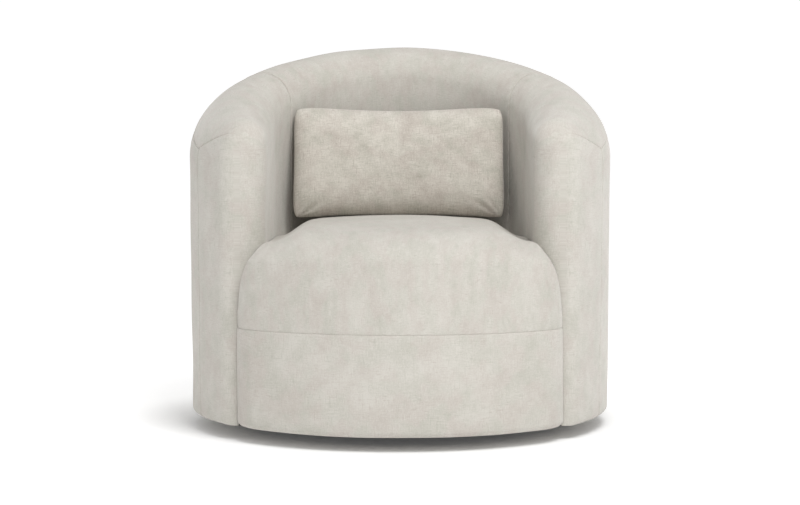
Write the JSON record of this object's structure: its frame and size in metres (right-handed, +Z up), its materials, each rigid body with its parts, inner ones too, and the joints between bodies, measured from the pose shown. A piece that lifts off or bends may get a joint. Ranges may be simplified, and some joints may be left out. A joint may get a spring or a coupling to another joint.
{
  "type": "swivel armchair",
  "caption": "Round upholstered swivel chair with a sloping rolled rim, crowned seat and loose lumbar pillow, turning on a hidden ball-bearing base.",
  "frame": {"origin": "on the floor, on the swivel axis", "axes": "+Z up along the swivel axis, front of the chair towards -Y, +X to the right seen from the front"},
  "size_m": [0.889, 0.8889, 0.82],
  "materials": {
    "cover_fabric": "warm light grey woven chenille, matt",
    "pillow_fabric": "the same cloth, a little darker and warmer",
    "filling": "upholstery foam, wadding and felt, hidden",
    "lining_cloth": "black spun cloth and webbing, hidden",
    "frame_wood": "bare plywood and hardwood, hidden",
    "base_board": "board painted matt black",
    "glide_felt": "dark pressed felt",
    "plate_steel": "pressed steel painted black",
    "fixing_steel": "zinc plated steel",
    "bearing_plastic": "natural nylon"
  },
  "bodies": {
    "base": {"base_disc": "base_board", "glides": "glide_felt", "lower_plate": "plate_steel", "lower_plate_screws": "fixing_steel", "pivot_pin": "fixing_steel", "pivot_washer": "fixing_steel", "pivot_nut": "fixing_steel"},
    "bearing": {"ball_cage": "bearing_plastic", "bearing_balls": "fixing_steel"},
    "chair": {"upper_plate": "plate_steel", "pivot_bush": "bearing_plastic", "upper_plate_bolts": "fixing_steel", "tee_nuts": "fixing_steel", "bottom_board": "frame_wood", "drum_hoop": "frame_wood", "drum_studs": "frame_wood", "seat_frame": "frame_wood", "right_front_post": "frame_wood", "left_front_post": "frame_wood", "side_posts": "frame_wood", "back_posts": "frame_wood", "top_rail": "frame_wood", "outer_board": "frame_wood", "right_arm_board": "frame_wood", "left_arm_board": "frame_wood", "back_webbing": "lining_cloth", "seat_springs": "fixing_steel", "spring_clips": "fixing_steel", "insulator_pad": "filling", "deck_cloth": "lining_cloth", "seat_foam": "filling", "seat_cover": "cover_fabric", "apron_pad": "filling", "apron_cover": "cover_fabric", "right_arm_pad": "filling", "left_arm_pad": "filling", "right_front_cover": "cover_fabric", "left_front_cover": "cover_fabric", "right_outside_cover": "cover_fabric", "left_outside_cover": "cover_fabric", "right_arm_cover": "cover_fabric", "left_arm_cover": "cover_fabric", "back_pad": "filling", "outside_back_cover": "cover_fabric", "inside_back_cover": "cover_fabric", "dust_cover": "lining_cloth"},
    "pillow": {"pillow_filling": "filling", "pillow_cover": "pillow_fabric"}
  },
  "joints": [
    {"name": "seat_swivel", "type": "hinge", "parent": "base", "child": "chair", "pos_m": [0, 0, 0], "axis": [0, 0, 1], "continuous": true},
    {"name": "cage_spin", "type": "hinge", "parent": "base", "child": "bearing", "pos_m": [0, 0, 0], "axis": [0, 0, 1], "continuous": true},
    {"name": "pillow_lift", "type": "slide", "parent": "chair", "child": "pillow", "axis": [0, 0, 1], "range_m": [0, 0.45]}
  ],
  "couplings": [
    {"joint": "cage_spin", "follows": "seat_swivel", "ratio": 0.5}
  ]
}
